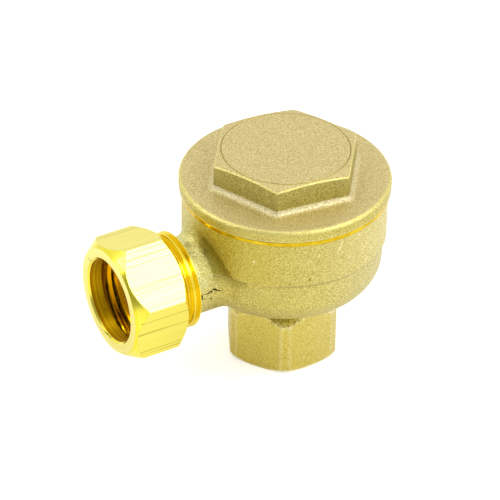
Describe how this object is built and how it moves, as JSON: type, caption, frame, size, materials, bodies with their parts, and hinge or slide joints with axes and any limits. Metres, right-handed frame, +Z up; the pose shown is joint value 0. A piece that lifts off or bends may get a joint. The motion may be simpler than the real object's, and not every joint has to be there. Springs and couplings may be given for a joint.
{
  "type": "radiator steam trap",
  "caption": "Angle-pattern steam trap in cast brass: round chamber under a screwed hexagon cover, side inlet with union nut, threaded outlet below.",
  "frame": {"origin": "on the outlet's axis, in the plane of its mouth", "axes": "+Z up from the outlet to the cover, -X out of the inlet"},
  "size_m": [0.0786, 0.0544, 0.0601],
  "materials": {
    "cast_brass": "sand-cast, matte and grainy",
    "gasket_brass": "flat-rolled, bright edge",
    "drawn_brass": "drawn and turned, bright",
    "turned_brass": "turned, satin",
    "bronze": "rolled, satin",
    "stainless": "turned, satin"
  },
  "bodies": {
    "trap": {"trap_body": "cast_brass", "valve_seat": "stainless"},
    "gasket": {"cover_gasket": "gasket_brass"},
    "cover": {"cover": "cast_brass", "element_head": "turned_brass", "bellows": "bronze"},
    "valve": {"element_foot": "turned_brass", "valve_cone": "stainless"},
    "nut": {"union_nut": "drawn_brass"}
  },
  "joints": [
    {"name": "cover_lift", "type": "slide", "parent": "trap", "child": "gasket", "axis": [0, 0, 1], "range_m": [0, 0.006]},
    {"name": "cover_turn", "type": "hinge", "parent": "gasket", "child": "cover", "pos_m": [0, 0, 0.05], "axis": [0, 0, 1], "range_deg": [0, 1440]},
    {"name": "valve_stroke", "type": "slide", "parent": "cover", "child": "valve", "axis": [0, 0, -1], "range_m": [0, 0.0024], "stiffness_N_per_m": 2000, "springref_m": -0.0005, "deforming": ["bellows"]},
    {"name": "union_nut_turn", "type": "hinge", "parent": "trap", "child": "nut", "pos_m": [-0.043, 0, 0.0306], "axis": [-1, 0, 0], "range_deg": [-720, 1080]}
  ],
  "couplings": [
    {"joint": "cover_lift", "follows": "cover_turn", "m_per_rad": 0.00023873}
  ]
}
